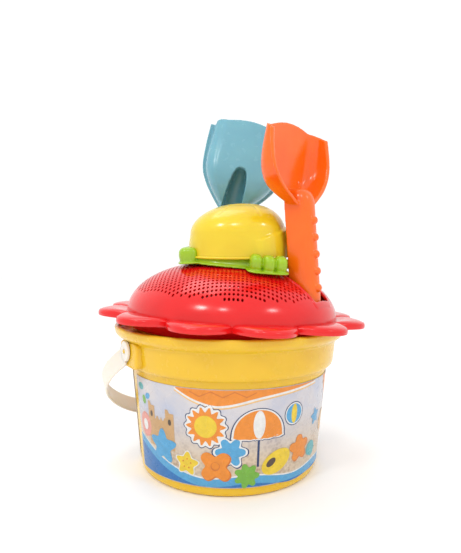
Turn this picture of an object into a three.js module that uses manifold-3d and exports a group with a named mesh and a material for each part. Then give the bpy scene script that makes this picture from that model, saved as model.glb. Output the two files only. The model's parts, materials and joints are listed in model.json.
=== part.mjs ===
// A child's sand bucket with its beach set: flower-shaped sieve lid, turtle mould in two pieces, two shovels.
// Millimetres, +Z up. The origin is the centre of the bucket's flat underside and the set's front faces -Y.
// An azimuth is measured from the front (-Y) towards +X, in degrees.
import * as THREE from "three";
import { mergeVertices } from "three/addons/utils/BufferGeometryUtils.js";
import Module from "manifold-3d";

const wasm = await Module();
wasm.setup();

const { degToRad } = THREE.MathUtils;

// ---- Driving dimensions ----------------------------------------------------

const WALL = 1.8; // wall of every moulding
const GAP = 0.4; // play between two pieces that touch
const ROUND_STEPS = 52; // facets round a full turn of the large pieces

const bucketSize = {
  height: 121.5,
  lipRadius: 99,
  footRadius: 76,
  footRound: 4,
  bodySlope: 0.094, // radius gained for each mm of height
  stepHeight: 88.5, // where the body meets the collar
  collarBottomRadius: 90.8,
  collarTopRadius: 92,
  collarTop: 111, // where the flare under the lip begins
  flareTop: 118.5,
};

const labelSize = { bottom: 8, top: 83.3, thickness: 0.35, startAzimuth: -63, sweep: 348 };

const pivot = { azimuth: -58, height: 104.4, padFace: 94.6, padWidth: 36, studRadius: 4, headRadius: 6 };

const bailSize = {
  width: 16,
  thickness: 2.4,
  eyeRadius: 7.2,
  reach: 116, // from the pivot axis to the middle of the grip
  halfWidth: 111.5,
  hang: 42.8, // degrees below level when it leans on the bucket
};

const lidSize = {
  centre: new THREE.Vector3(2, 0, 129.6),
  lean: 2.6, // degrees, right side low
  petals: 12,
  notchRadius: 95.4,
  tipRadius: 114.2,
  rimTop: 1,
  rimBottom: -3.4,
  domeRadius: 90.9,
  domeRise: 45.3,
  domeFullness: 2.35, // superellipse exponents of the dome's profile
  domeFlatness: 1.94,
  plugRadius: 88.4,
  plugDepth: 12,
};

// The slots that the shovels' handles stand in: place of the middle, way the slot faces, and size.
const orangeSlot = { azimuth: 57.5, radius: 70, turn: 57.5, radial: 28, across: 27.5 };
const blueSlot = { azimuth: 199.5, radius: 58, turn: 180, radial: 26, across: 31 };

const turtleSize = {
  halfLength: 42.3,
  halfWidth: 37,
  bodyHeight: 12,
  shellHeight: 45.5,
  shellWallHeight: 19,
};
const headSize = { radius: 8, neckRadius: 5.6, reach: 54, height: 28 };
// The right side's feet: ankle place and the azimuth that the toes point to; the head points to +X.
const turtleFeet = [
  { x: 24.4, y: -26.6, azimuth: 9.5 },
  { x: -33.2, y: -13.5, azimuth: -64 },
];
const toeSize = { radius: 4.6, post: 4, pitch: 9.8, reach: 13, webHeight: 3.6 };
const soleSize = { radius: 15, thickness: 1.4, slope: 8 }; // degrees down towards the toes

// ---- Geometry helpers --------------------------------------------------------

// A closed three.js geometry as a solid that can be joined and cut.
function solidOf(geometry) {
  const bare = geometry.clone();
  bare.deleteAttribute("normal");
  bare.deleteAttribute("uv");
  const merged = mergeVertices(bare, 1e-4);
  const vertProperties = merged.getAttribute("position").array;
  const triVerts = new Uint32Array(merged.index.array);
  return new wasm.Manifold(new wasm.Mesh({ numProp: 3, vertProperties, triVerts }));
}

function geometryOf(solid) {
  const mesh = solid.getMesh();
  return new THREE.BufferGeometry()
    .setAttribute("position", new THREE.BufferAttribute(mesh.vertProperties, 3))
    .setIndex(new THREE.BufferAttribute(mesh.triVerts, 1));
}

function joined(solids) {
  return solids.reduce((sum, solid) => sum.add(solid));
}

// The direction of an azimuth in the horizontal plane.
function heading(azimuth) {
  const angle = degToRad(azimuth);
  return new THREE.Vector3(Math.sin(angle), -Math.cos(angle), 0);
}

// A profile of [radius, height] points turned about Z; it runs anticlockwise with the radius to the right.
function turned(profile, steps = ROUND_STEPS) {
  const points = profile.map(([radius, height]) => new THREE.Vector2(radius, height));
  return solidOf(new THREE.LatheGeometry(points, steps).rotateX(Math.PI / 2));
}

// A flat outline of [x, y] points raised from one height to another.
function raised(outline, bottom, top) {
  const shape = new THREE.Shape(outline.map(([x, y]) => new THREE.Vector2(x, y)));
  const geometry = new THREE.ExtrudeGeometry(shape, { depth: top - bottom, bevelEnabled: false });
  return solidOf(geometry.translate(0, 0, bottom));
}

// A skin through rings of points, each ring in the same order, closed by a flat fan at both ends.
function lofted(rings) {
  const count = rings[0].length;
  const points = rings.flat();
  const index = [];
  for (let ring = 0; ring + 1 < rings.length; ring++) {
    for (let i = 0; i < count; i++) {
      const a = ring * count + i;
      const b = ring * count + ((i + 1) % count);
      index.push(a, b, b + count, a, b + count, a + count);
    }
  }
  addCap(points, index, rings[0], 0, true);
  addCap(points, index, rings.at(-1), (rings.length - 1) * count, false);
  const geometry = new THREE.BufferGeometry().setFromPoints(points);
  return solidOf(geometry.setIndex(index));
}

function addCap(points, index, ring, first, reversed) {
  const centre = ring.reduce((sum, p) => sum.add(p), new THREE.Vector3()).divideScalar(ring.length);
  const middle = points.push(centre) - 1;
  ring.forEach((_, i) => {
    const next = first + ((i + 1) % ring.length);
    index.push(middle, ...(reversed ? [next, first + i] : [first + i, next]));
  });
}

// An oval ring at one height: a superellipse with half axes a and b.
function oval(a, b, z, exponent = 2.3, steps = 40) {
  return Array.from({ length: steps }, (_, i) => {
    const angle = (2 * Math.PI * i) / steps;
    const c = Math.cos(angle);
    const s = Math.sin(angle);
    const x = a * Math.sign(c) * Math.abs(c) ** (2 / exponent);
    const y = b * Math.sign(s) * Math.abs(s) ** (2 / exponent);
    return new THREE.Vector3(x, y, z);
  });
}

// A smooth value through [position, value] knots.
function blend(knots, position) {
  const last = knots.length - 1;
  if (position <= knots[0][0]) return knots[0][1];
  if (position >= knots[last][0]) return knots[last][1];
  const i = knots.findIndex(([at]) => at > position) - 1;
  const [from, low] = knots[i];
  const [to, high] = knots[i + 1];
  const before = knots[Math.max(i - 1, 0)];
  const after = knots[Math.min(i + 2, last)];
  const t = (position - from) / (to - from);
  const slopeIn = ((high - before[1]) / (to - before[0])) * (to - from);
  const slopeOut = ((after[1] - low) / (after[0] - from)) * (to - from);
  const t2 = t * t;
  const t3 = t2 * t;
  return (
    (2 * t3 - 3 * t2 + 1) * low +
    (t3 - 2 * t2 + t) * slopeIn +
    (3 * t2 - 2 * t3) * high +
    (t3 - t2) * slopeOut
  );
}

function range(from, to, steps) {
  return Array.from({ length: steps + 1 }, (_, i) => from + ((to - from) * i) / steps);
}

// ---- Materials -----------------------------------------------------------------

function plastic(color, roughness = 0.25) {
  return new THREE.MeshStandardMaterial({ color, roughness, metalness: 0 });
}

function part(name, solid, material) {
  const mesh = new THREE.Mesh(geometryOf(solid), material);
  mesh.name = name;
  return mesh;
}

// ---- Bucket ----------------------------------------------------------------------

function bodyRadius(height) {
  return bucketSize.footRadius + bucketSize.bodySlope * height;
}

// Half of the bucket's section from the axis to the top of the lip, moved inwards by the given inset.
function bucketSection(inset) {
  const s = bucketSize;
  const foot = range(-90, 0, 3).map((angle) => [
    s.footRadius - s.footRound + s.footRound * Math.cos(degToRad(angle)) - inset,
    s.footRound + s.footRound * Math.sin(degToRad(angle)) + inset,
  ]);
  const collar = [
    [bodyRadius(s.stepHeight), s.stepHeight],
    [s.collarBottomRadius - 3.6, s.stepHeight + 0.7],
    [s.collarBottomRadius - 1, s.stepHeight + 3.5],
    [s.collarBottomRadius, s.stepHeight + 8],
    [s.collarTopRadius, s.collarTop],
  ];
  const flare = range(0, 1, 4).map((t) => [
    s.collarTopRadius + (s.lipRadius - s.collarTopRadius) * Math.sin((t * Math.PI) / 2),
    s.collarTop + (s.flareTop - s.collarTop) * t ** 1.35,
  ]);
  const upper = [...collar, ...flare.slice(1), [s.lipRadius, s.height]].map(([r, z]) => [r - inset, z]);
  return [[0, inset], ...foot, ...upper];
}

function earSolids(azimuth) {
  const { padFace, padWidth, height, studRadius, headRadius } = pivot;
  const halfHeight = (bucketSize.collarTop - bucketSize.stepHeight) / 2 - 2;
  const depth = 6;
  const pad = new THREE.BoxGeometry(padWidth, depth, 2 * halfHeight);
  pad.translate(0, depth / 2 - padFace, bucketSize.stepHeight + halfHeight + 3);
  const studLength = bailSize.thickness + 2 * GAP;
  const stud = new THREE.CylinderGeometry(studRadius, studRadius, studLength + 2, 24);
  stud.translate(0, 1 - padFace - studLength / 2, height);
  const headThickness = 1.6;
  const head = new THREE.CylinderGeometry(headRadius - 0.8, headRadius, headThickness, 24).rotateX(Math.PI);
  head.translate(0, -padFace - studLength - headThickness / 2 + 0.01, height);
  return [pad, stud, head].map((geometry) => solidOf(geometry.rotateZ(degToRad(azimuth))));
}

function bucket() {
  const shell = turned([...bucketSection(0), ...bucketSection(WALL).reverse()]);
  const ears = joined([pivot.azimuth, pivot.azimuth + 180].flatMap(earSolids));
  const inside = turned([...bucketSection(WALL), [0, bucketSize.height]]);
  return shell.add(ears.subtract(inside));
}

// The label lies on the body's cone and leaves a narrow bare strip where its ends meet.
function label() {
  const { bottom, top, thickness, startAzimuth, sweep } = labelSize;
  const rings = range(startAzimuth, startAzimuth + sweep, 60).map((azimuth) => {
    const out = heading(azimuth);
    const corner = (height, lift) =>
      out.clone().multiplyScalar(bodyRadius(height) + lift).setZ(height);
    const lift = 0.25;
    return [
      corner(bottom, lift),
      corner(bottom, lift + thickness),
      corner(top, lift + thickness),
      corner(top, lift),
    ];
  });
  return lofted(rings.reverse());
}

// ---- Bail --------------------------------------------------------------------------

// The strap's centre line in the bail's own plane: u across the bucket, v away from the pivot axis.
// The strap lies flat on the pad round the stud, then turns outwards in a widening bow.
function bailPoint(turn) {
  const { halfWidth, reach } = bailSize;
  const eyeOut = pivot.padFace + GAP + bailSize.thickness / 2;
  const v = reach * Math.sin(degToRad(turn)) ** 0.96;
  const start = bailSize.eyeRadius + 2.5;
  const share = Math.min(Math.max((v - start) / 50, 0), 1);
  const bow = eyeOut + (halfWidth - eyeOut) * (1 - (1 - share) ** 2.5);
  return new THREE.Vector2(bow * Math.cos(degToRad(turn)), v);
}

// The bail in its own frame: pivot axis along X, the grip towards +Y, the strap's width along Z.
function bail() {
  const { width, thickness, eyeRadius } = bailSize;
  const eyeOut = pivot.padFace + GAP + thickness / 2;
  const turns = range(0, 180, 44);
  const rings = turns.map((turn) => {
    const here = bailPoint(turn);
    const before = bailPoint(Math.max(turn - 1, 0));
    const after = bailPoint(Math.min(turn + 1, 180));
    const along = turn % 180 === 0 ? new THREE.Vector2(0, 1) : after.sub(before).normalize();
    const half = turn === 180 ? -thickness / 2 : thickness / 2;
    const normal = new THREE.Vector2(along.y, -along.x).multiplyScalar(half);
    return [
      new THREE.Vector3(here.x - normal.x, here.y - normal.y, -width / 2),
      new THREE.Vector3(here.x + normal.x, here.y + normal.y, -width / 2),
      new THREE.Vector3(here.x + normal.x, here.y + normal.y, width / 2),
      new THREE.Vector3(here.x - normal.x, here.y - normal.y, width / 2),
    ];
  });
  const eyes = [1, -1].map((side) => {
    const disc = new THREE.CylinderGeometry(eyeRadius, eyeRadius, thickness, 32).rotateZ(Math.PI / 2);
    return solidOf(disc.translate(side * eyeOut, 0, 0));
  });
  const holeRadius = pivot.studRadius + GAP;
  const hole = new THREE.CylinderGeometry(holeRadius, holeRadius, 2 * eyeOut + 20, 24).rotateZ(Math.PI / 2);
  return joined([lofted(rings.map((ring) => ring.reverse())), ...eyes]).subtract(solidOf(hole));
}

function bailGroup() {
  const group = new THREE.Group();
  group.add(part("bail", bail(), plastic(0xf6f3ee, 0.35)));
  group.rotation.set(degToRad(-bailSize.hang), 0, degToRad(pivot.azimuth + 90), "ZYX");
  group.position.z = pivot.height;
  return group;
}

// ---- Flower lid --------------------------------------------------------------------------

// The petals' outline: a parabola from notch to notch, drawn in by the given inset.
function flowerOutline(inset) {
  const { petals, notchRadius, tipRadius } = lidSize;
  const perPetal = 8;
  return range(0, petals, petals * perPetal)
    .slice(0, -1)
    .map((turn) => {
      const offset = 2 * (turn % 1) - 1;
      const radius = tipRadius - (tipRadius - notchRadius) * offset ** 2 - inset;
      const out = heading((360 * turn) / petals).multiplyScalar(radius);
      return [out.x, out.y];
    });
}

// The dome's profile from its foot to its top, set in by the given inset.
function domeSection(inset) {
  const { domeRadius, domeRise, domeFullness, domeFlatness } = lidSize;
  return range(0, 90, 9).map((angle) => [
    (domeRadius - inset) * Math.cos(degToRad(angle)) ** (2 / domeFullness),
    (domeRise - inset) * Math.sin(degToRad(angle)) ** (2 / domeFlatness),
  ]);
}

// The height of that profile at one radius.
function domeHeight(radius, inset) {
  const { domeRadius, domeRise, domeFullness, domeFlatness } = lidSize;
  const share = (radius / (domeRadius - inset)) ** domeFullness;
  return (domeRise - inset) * (1 - share) ** (1 / domeFlatness);
}

function slotCutter({ azimuth, radius, turn, radial, across }) {
  const box = new THREE.BoxGeometry(across, radial, 4 * lidSize.domeRise).rotateZ(degToRad(turn));
  const { x, y } = heading(azimuth).multiplyScalar(radius);
  return solidOf(box.translate(x, y, 0));
}

// The lid in its own frame: the petals' level at zero.
function lid() {
  const { rimTop, rimBottom, plugRadius, plugDepth, domeRadius, domeRise } = lidSize;
  const foot = rimTop - WALL;
  const bore = plugRadius - WALL;
  const dome = turned([[0, foot], [domeRadius, foot], ...domeSection(0).slice(0, -1), [0, domeRise]]);
  const petals = raised(flowerOutline(0), rimBottom, rimTop);
  const plug = turned([[0, -plugDepth], [plugRadius, -plugDepth], [plugRadius, rimTop], [0, rimTop]]);
  const underPetals = raised(flowerOutline(WALL + 0.4), rimBottom - 1, foot).subtract(plug);
  const ceiling = domeSection(WALL).filter(([radius]) => radius < bore);
  const mouth = [[0, -plugDepth - 1], [bore, -plugDepth - 1], [bore, domeHeight(bore, WALL)]];
  const cavity = turned([...mouth, ...ceiling.slice(0, -1), [0, domeRise - WALL]]);
  return joined([dome, petals, plug])
    .subtract(underPetals)
    .subtract(cavity)
    .subtract(slotCutter(orangeSlot))
    .subtract(slotCutter(blueSlot));
}

// ---- Shovels ----------------------------------------------------------------------------------

// A shovel stands along Z with its blade up and its hollow facing -Y; zero is where the rim meets the handle.
// Its digging edge bows outwards between two small humps at the corners.
// The blade's section at one station has its rim at Y = 0 and its floor behind it.
function bladeRing(station, inset, style) {
  const halfWidth = blend(style.halfWidth, station) - inset;
  const depth = blend(style.depth, station) - inset;
  const front = inset > 0 ? -6 : 0;
  const floorHalf = halfWidth * 0.66;
  const steps = range(0, 90, 4);
  const corner = steps.map((angle) => [
    floorHalf + (halfWidth - floorHalf) * Math.cos(degToRad(angle)),
    depth * 0.3 + depth * 0.7 * Math.sin(degToRad(angle)),
  ]);
  const floor = [0.66, 0.33].map((share) => [floorHalf * share, depth]);
  const right = [[halfWidth, front], ...corner, ...floor];
  const left = right.map(([x, y]) => [-x, y]).reverse();
  const rise = blend([[0.6, 0], [1, 1]], station / style.length);
  return [...right, [0, depth], ...left].map(([x, y]) => {
    const across = Math.min(Math.abs(x) / halfWidth, 1);
    const ear = style.ear * rise * Math.exp(-(((across - 0.93) / 0.09) ** 2));
    return new THREE.Vector3(x, y, station + style.edgeArc * rise * (1 - across ** 2) + ear);
  });
}

function bladeSolid(inset, style) {
  const from = inset > 0 ? inset : 0;
  const stations = range(from, style.length, 11);
  const rings = stations.map((station) => bladeRing(station, inset, style));
  if (inset > 0) rings.push(rings.at(-1).map((p) => p.clone().setZ(p.z + 20)));
  return lofted(rings);
}

// Handle section: flat at the back, round ridge in front.
function handleRing(z, scale, inset, style) {
  const back = style.handleBack + (inset > 0 ? 30 : 0);
  const halfWidth = (style.handleHalfWidth - inset) * scale;
  const ridge = (style.handleDepth - inset) * scale;
  const front = range(0, 180, 12).map((angle) => {
    const c = Math.cos(degToRad(angle));
    const s = Math.sin(degToRad(angle));
    const x = halfWidth * Math.sign(c) * Math.abs(c) ** 0.8;
    return new THREE.Vector3(x, style.handleBack - ridge * s ** 0.8, z);
  });
  const corners = [new THREE.Vector3(-halfWidth, back, z), new THREE.Vector3(halfWidth, back, z)];
  return inset > 0 ? [...front, ...corners] : front;
}

function handleSolid(inset, style) {
  const bottom = inset - style.handleLength;
  const top = style.noseHeight - inset;
  const nose = range(0, 85, 6).map((angle) => [
    top * Math.sin(degToRad(angle)),
    Math.cos(degToRad(angle)) ** style.nosePower,
  ]);
  const stations = [[bottom, 0.93], [bottom + 6, 1], [bottom / 2, 1], ...nose];
  return lofted(stations.map(([z, scale]) => handleRing(z, scale, inset, style).reverse()));
}

function shovel(style) {
  const blade = bladeSolid(0, style).subtract(bladeSolid(WALL, style));
  return blade.add(handleSolid(0, style)).subtract(handleSolid(WALL, style));
}

// A shovel's own group: turned about Z, leaned, and put where its handle passes the lid's slot.
function shovelGroup(name, style, color) {
  const group = new THREE.Group();
  group.add(part(name, shovel(style), plastic(color)));
  group.rotation.z = degToRad(style.yaw);
  const lean = new THREE.Group();
  lean.add(group);
  lean.rotation.y = degToRad(style.leanSide);
  lean.position.copy(style.place);
  return lean;
}

const orangeStyle = {
  length: 60,
  halfWidth: [[0, 10], [6, 19], [13, 28], [24, 36], [37, 39], [60, 37]],
  depth: [[0, 9], [8, 15], [19, 20], [37, 18], [60, 9]],
  edgeArc: 10,
  ear: 4,
  handleHalfWidth: 11,
  handleDepth: 20,
  handleBack: 13,
  handleLength: 124,
  noseHeight: 14,
  nosePower: 0.9,
  yaw: 49,
  leanSide: -4.3,
  place: new THREE.Vector3(60, -40, 221),
};

const blueStyle = {
  ...orangeStyle,
  length: 78,
  halfWidth: [[0, 10], [8, 18], [20, 28], [34, 35], [56, 37], [78, 37]],
  depth: [[0, 9], [10, 16], [26, 21], [46, 18], [78, 8]],
  noseHeight: 42,
  nosePower: 0.6,
  handleLength: 130,
  yaw: 180,
  leanSide: 16,
  place: new THREE.Vector3(0, 56, 226),
};

// ---- Turtle mould -------------------------------------------------------------------------------

// A foot: three round toes side by side on a thin sole that shows as a lip round them.
function footSolids({ x, y, azimuth }) {
  const { radius, post, pitch, reach, webHeight } = toeSize;
  const toes = [-1, 0, 1].map((toe) =>
    new THREE.CapsuleGeometry(radius, post, 3, 10)
      .rotateX(Math.PI / 2)
      .translate(toe * pitch, Math.abs(toe) * 1.2 - reach, radius + post / 2),
  );
  const web = new THREE.BoxGeometry(2 * pitch, reach + 5, webHeight);
  web.translate(0, 2 - reach / 2, webHeight / 2);
  const sole = new THREE.CylinderGeometry(soleSize.radius, soleSize.radius, soleSize.thickness, 20)
    .rotateX(Math.PI / 2)
    .scale(1.1, 0.75, 1)
    .translate(0, 6 - reach, soleSize.thickness / 2);
  return [...toes, web, sole].map((geometry) =>
    solidOf(geometry.rotateX(degToRad(soleSize.slope)).rotateZ(degToRad(azimuth)).translate(x, y, 0)),
  );
}

// The body's trunk, drawn in by the given inset: a low wall over a skirt that flares to the open underside.
function trunkSolid(inset) {
  const a = turtleSize.halfLength - 7 - inset;
  const b = turtleSize.halfWidth - 7 - inset;
  const skirt = inset > 0 ? [[7, -60]] : [];
  const wall = [...skirt, [7, 0], [5, 1.2], [1.5, 4], [0, turtleSize.bodyHeight - inset]];
  return lofted(wall.map(([flare, z]) => oval(a + flare, b + flare, z)));
}

// The head stands up on its neck in front of the shell.
function headSolids() {
  const { radius, neckRadius, reach, height } = headSize;
  const chest = new THREE.BoxGeometry(reach - 30, 2 * neckRadius, 7).translate(reach / 2 + 15, 0, 3.5);
  const neck = new THREE.CylinderGeometry(neckRadius, neckRadius, height, 16).rotateX(Math.PI / 2);
  const head = new THREE.SphereGeometry(radius, 16, 10).scale(1, 1, 1.15);
  return [chest, neck.translate(reach, 0, height / 2), head.translate(reach, 0, height)].map(solidOf);
}

// The body in its own frame: open side down at zero, head towards +X.
function turtleBody() {
  const mirrored = turtleFeet.map(({ x, y, azimuth }) => ({ x, y: -y, azimuth: 180 - azimuth }));
  const feet = [...turtleFeet, ...mirrored].flatMap(footSolids);
  return joined([trunkSolid(0), ...headSolids(), ...feet]).subtract(trunkSolid(WALL));
}

// The shell in its own frame: open side down at zero.
function shellSolid(inset) {
  const { halfLength, halfWidth, shellHeight, shellWallHeight } = turtleSize;
  const bottom = inset > 0 ? -5 : 0;
  const a = halfLength - inset;
  const b = halfWidth - inset;
  const rise = shellHeight - shellWallHeight - inset;
  const wall = [[1, bottom], [0.985, shellWallHeight * 0.6], [0.96, shellWallHeight]].map(([scale, z]) =>
    oval(a * scale, b * scale, z),
  );
  const crown = range(14, 84, 6).map((angle) => {
    const scale = 0.96 * Math.cos(degToRad(angle)) ** 0.85;
    return oval(a * scale, b * scale, shellWallHeight + rise * Math.sin(degToRad(angle)));
  });
  return lofted([...wall, ...crown]);
}

function turtleShell() {
  return shellSolid(0).subtract(shellSolid(WALL));
}

function turtleGroup(name, solid, color, { yaw, front, right, place }) {
  const group = new THREE.Group();
  const piece = part(name, solid, plastic(color));
  piece.rotation.z = degToRad(yaw);
  group.add(piece);
  group.rotation.set(degToRad(front), degToRad(right), 0);
  group.position.copy(place);
  return group;
}

// ---- The set ---------------------------------------------------------------------------------------

const group = new THREE.Group();
group.add(part("bucket", bucket(), plastic(0xf5c22b, 0.2)));
group.add(part("label", label(), plastic(0xe9d6a8, 0.3)));
group.add(bailGroup());

const lidGroup = new THREE.Group();
lidGroup.add(part("lid", lid(), plastic(0xee2a24, 0.2)));
lidGroup.position.copy(lidSize.centre);
lidGroup.rotation.y = degToRad(lidSize.lean);
group.add(lidGroup);

const bodyPlace = { yaw: -2.5, front: 3.5, right: 4.5, place: new THREE.Vector3(5, -11, 173) };
const shellPlace = { yaw: -2.5, front: 4.5, right: -0.5, place: new THREE.Vector3(7, -11, 180.4) };
group.add(turtleGroup("turtle_body", turtleBody(), 0x9acb2c, bodyPlace));
group.add(turtleGroup("turtle_shell", turtleShell(), 0xf6de3a, shellPlace));
group.add(shovelGroup("orange_shovel", orangeStyle, 0xff6a1e));
group.add(shovelGroup("blue_shovel", blueStyle, 0x7cc3d8));

export default group;
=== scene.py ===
"""Looks of the sand bucket set.

A bucket with its label and bail, a flower-shaped sieve lid, a turtle mould and two shovels.
"""
import json
import math

import bmesh
import bpy
from mathutils import Matrix, Vector


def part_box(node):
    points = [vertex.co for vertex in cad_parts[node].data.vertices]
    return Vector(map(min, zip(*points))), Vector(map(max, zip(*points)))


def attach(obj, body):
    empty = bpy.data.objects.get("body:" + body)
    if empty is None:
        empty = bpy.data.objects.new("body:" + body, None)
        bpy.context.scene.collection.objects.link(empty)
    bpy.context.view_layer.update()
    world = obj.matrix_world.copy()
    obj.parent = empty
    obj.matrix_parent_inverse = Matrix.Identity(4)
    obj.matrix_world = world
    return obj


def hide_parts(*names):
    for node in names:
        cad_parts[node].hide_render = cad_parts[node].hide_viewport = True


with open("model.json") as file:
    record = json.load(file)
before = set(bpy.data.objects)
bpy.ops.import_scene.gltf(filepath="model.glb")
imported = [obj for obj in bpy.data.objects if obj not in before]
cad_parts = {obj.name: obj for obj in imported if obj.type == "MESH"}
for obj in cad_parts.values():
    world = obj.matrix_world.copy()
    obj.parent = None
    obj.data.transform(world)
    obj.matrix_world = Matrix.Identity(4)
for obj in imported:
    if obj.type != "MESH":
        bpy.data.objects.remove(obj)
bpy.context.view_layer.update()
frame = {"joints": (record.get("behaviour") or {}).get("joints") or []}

MM = 0.001
WALL = 1.8  # wall of every moulding, in mm like all sizes below


# ---- Places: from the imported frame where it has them, and otherwise as in the CAD model ----

BAIL_HINGE = next(joint for joint in frame["joints"] if joint["name"] == "bail_hinge")
PIVOT = Vector(BAIL_HINGE["pos_m"]) / MM
BAIL_AXIS = Vector(BAIL_HINGE["axis"]).normalized()
LABEL_BOTTOM, LABEL_TOP = (corner[2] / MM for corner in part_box("label"))
PAD_FACE = 94.6  # from the bucket's axis to the flat pads beside it
EYE_OUT = PAD_FACE + 1.6  # from the axis to the middle of the bail's eyes
BAIL_HALF_WIDTH = 111.5  # from the axis to the strap where it stands widest
BAIL_REACH = 116.0  # from the pivots to the middle of the strap
BAIL_TURN = 32  # degrees that the hinge line is turned about the bucket's axis
BAIL_HANG = 42.8  # degrees that the strap hangs below level at rest


def turn_about(angle, axis):
    return Matrix.Rotation(math.radians(angle), 4, axis)


def placement(place, *turns):
    """A matrix that turns by each (degrees, axis), the last one first, and then moves to the place."""
    matrix = Matrix.Translation(place)
    for angle, axis in turns:
        matrix = matrix @ turn_about(angle, axis)
    return matrix


LID_PLACE = placement((2, 0, 129.6), (2.6, "Y"))
BODY_PLACE = placement((5, -11, 173), (3.5, "X"), (4.5, "Y"), (-2.5, "Z"))
SHELL_PLACE = placement((7, -11, 180.4), (4.5, "X"), (-0.5, "Y"), (-2.5, "Z"))
BAIL_PLACE = placement(PIVOT, (BAIL_TURN, "Z"), (-BAIL_HANG, "X"))
ORANGE_PLACE = placement((60, -40, 221), (-4.3, "Y"), (49, "Z"))
BLUE_PLACE = placement((0, 56, 226), (16, "Y"), (180, "Z"))


# ---- Geometry helpers ----------------------------------------------------------

def steps(low, high, count):
    """count + 1 even values from low to high."""
    return [low + (high - low) * i / count for i in range(count + 1)]


def heading(azimuth):
    """The direction of an azimuth, measured from the front towards +X in degrees."""
    angle = math.radians(azimuth)
    return Vector((math.sin(angle), -math.cos(angle), 0))


def smooth_between(knots, position):
    """A smooth value through [position, value] knots."""
    if position <= knots[0][0]:
        return knots[0][1]
    if position >= knots[-1][0]:
        return knots[-1][1]
    i = next(k for k, knot in enumerate(knots) if knot[0] > position) - 1
    (start, low), (end, high) = knots[i], knots[i + 1]
    before = knots[max(i - 1, 0)]
    after = knots[min(i + 2, len(knots) - 1)]
    t = (position - start) / (end - start)
    slope_in = (high - before[1]) / (end - before[0]) * (end - start)
    slope_out = (after[1] - low) / (after[0] - start) * (end - start)
    return (
        (2 * t**3 - 3 * t**2 + 1) * low
        + (t**3 - 2 * t**2 + t) * slope_in
        + (3 * t**2 - 2 * t**3) * high
        + (t**3 - t**2) * slope_out
    )


def bump_at(value, centre, width):
    """A bell from 0 to 1 round one value."""
    return math.exp(-(((value - centre) / width) ** 2))


def signed_power(value, exponent):
    return math.copysign(abs(value) ** exponent, value)


def loft(rings, closed=True, capped=True, looped=False):
    """Vertices and faces of a skin through rings of points."""
    count = len(rings[0])
    points = [Vector(point) for ring in rings for point in ring]
    faces = []
    bands = len(rings) if looped else len(rings) - 1
    for band in range(bands):
        upper = (band + 1) % len(rings)
        for i in range(count if closed else count - 1):
            j = (i + 1) % count
            faces.append((band * count + i, band * count + j, upper * count + j, upper * count + i))
    if capped and not looped:
        last = (len(rings) - 1) * count
        faces.append(tuple(reversed(range(count))))
        faces.append(tuple(range(last, last + count)))
    return points, faces


def lathe(profile, count):
    """A closed section of [radius, height] points turned about Z."""
    rings = [
        [heading(360 * i / count) * radius + Vector((0, 0, height)) for radius, height in profile]
        for i in range(count)
    ]
    return loft(rings, looped=True)


def oval(a, b, z, exponent=2.3, count=120):
    """A superellipse ring with half axes a and b."""
    ring = []
    for i in range(count):
        angle = 2 * math.pi * i / count
        x = a * signed_power(math.cos(angle), 2 / exponent)
        y = b * signed_power(math.sin(angle), 2 / exponent)
        ring.append(Vector((x, y, z)))
    return ring


def rounded_block(size, centre, exponent=3.0, count=20):
    """A box with soft edges: a superellipsoid of the given half sizes."""
    rings = []
    for latitude in steps(-86, 86, count):
        across = math.cos(math.radians(latitude)) ** (2 / exponent)
        z = signed_power(math.sin(math.radians(latitude)), 2 / exponent)
        ring = oval(size[0] * across, size[1] * across, size[2] * z, exponent, 2 * count)
        rings.append([point + Vector(centre) for point in ring])
    return loft(rings)


def placed(shape, place):
    points, faces = shape
    return [place @ point for point in points], faces


def joined(shapes):
    """Several shapes as one list of vertices and faces."""
    points, faces = [], []
    for some_points, some_faces in shapes:
        first = len(points)
        points += some_points
        faces += [tuple(first + i for i in face) for face in some_faces]
    return points, faces


def mesh_object(name, shape, place=Matrix.Identity(4)):
    """A Blender object in metres from a shape in millimetres, its faces turned outwards."""
    points, faces = shape
    mesh = bpy.data.meshes.new(name)
    mesh.from_pydata([(place @ Vector(point)) * MM for point in points], [], faces)
    tidy = bmesh.new()
    tidy.from_mesh(mesh)
    bmesh.ops.remove_doubles(tidy, verts=tidy.verts, dist=1e-7)
    bmesh.ops.recalc_face_normals(tidy, faces=tidy.faces)
    tidy.to_mesh(mesh)
    tidy.free()
    obj = bpy.data.objects.new(name, mesh)
    bpy.context.collection.objects.link(obj)
    return obj


def modified(obj, *modifiers):
    """The object with (type, settings) modifiers applied to its mesh."""
    for kind, settings in modifiers:
        modifier = obj.modifiers.new(kind.lower(), kind)
        for key, value in settings.items():
            setattr(modifier, key, value)
    graph = bpy.context.evaluated_depsgraph_get()
    mesh = bpy.data.meshes.new_from_object(obj.evaluated_get(graph))
    obj.modifiers.clear()
    obj.data = mesh
    return obj


def piece(obj, body, node, material, sharp=40):
    """Gives a finished object its material and body, and hides the CAD node that it stands for."""
    obj.data.materials.clear()
    obj.data.materials.append(material)
    obj.data.polygons.foreach_set("use_smooth", [True] * len(obj.data.polygons))
    obj.data.set_sharp_from_angle(angle=math.radians(sharp))
    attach(obj, body)
    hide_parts(node)


# ---- Materials -------------------------------------------------------------------

def node_tree(name):
    material = bpy.data.materials.new(name)
    material.use_nodes = True
    tree = material.node_tree
    return material, tree, tree.nodes["Principled BSDF"]


def noise_node(tree, scale, detail=4.0):
    """A noise texture on the object's own coordinates."""
    place = tree.nodes.new("ShaderNodeTexCoord")
    texture = tree.nodes.new("ShaderNodeTexNoise")
    texture.inputs["Scale"].default_value = scale
    texture.inputs["Detail"].default_value = detail
    tree.links.new(place.outputs["Object"], texture.inputs["Vector"])
    return texture


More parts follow.
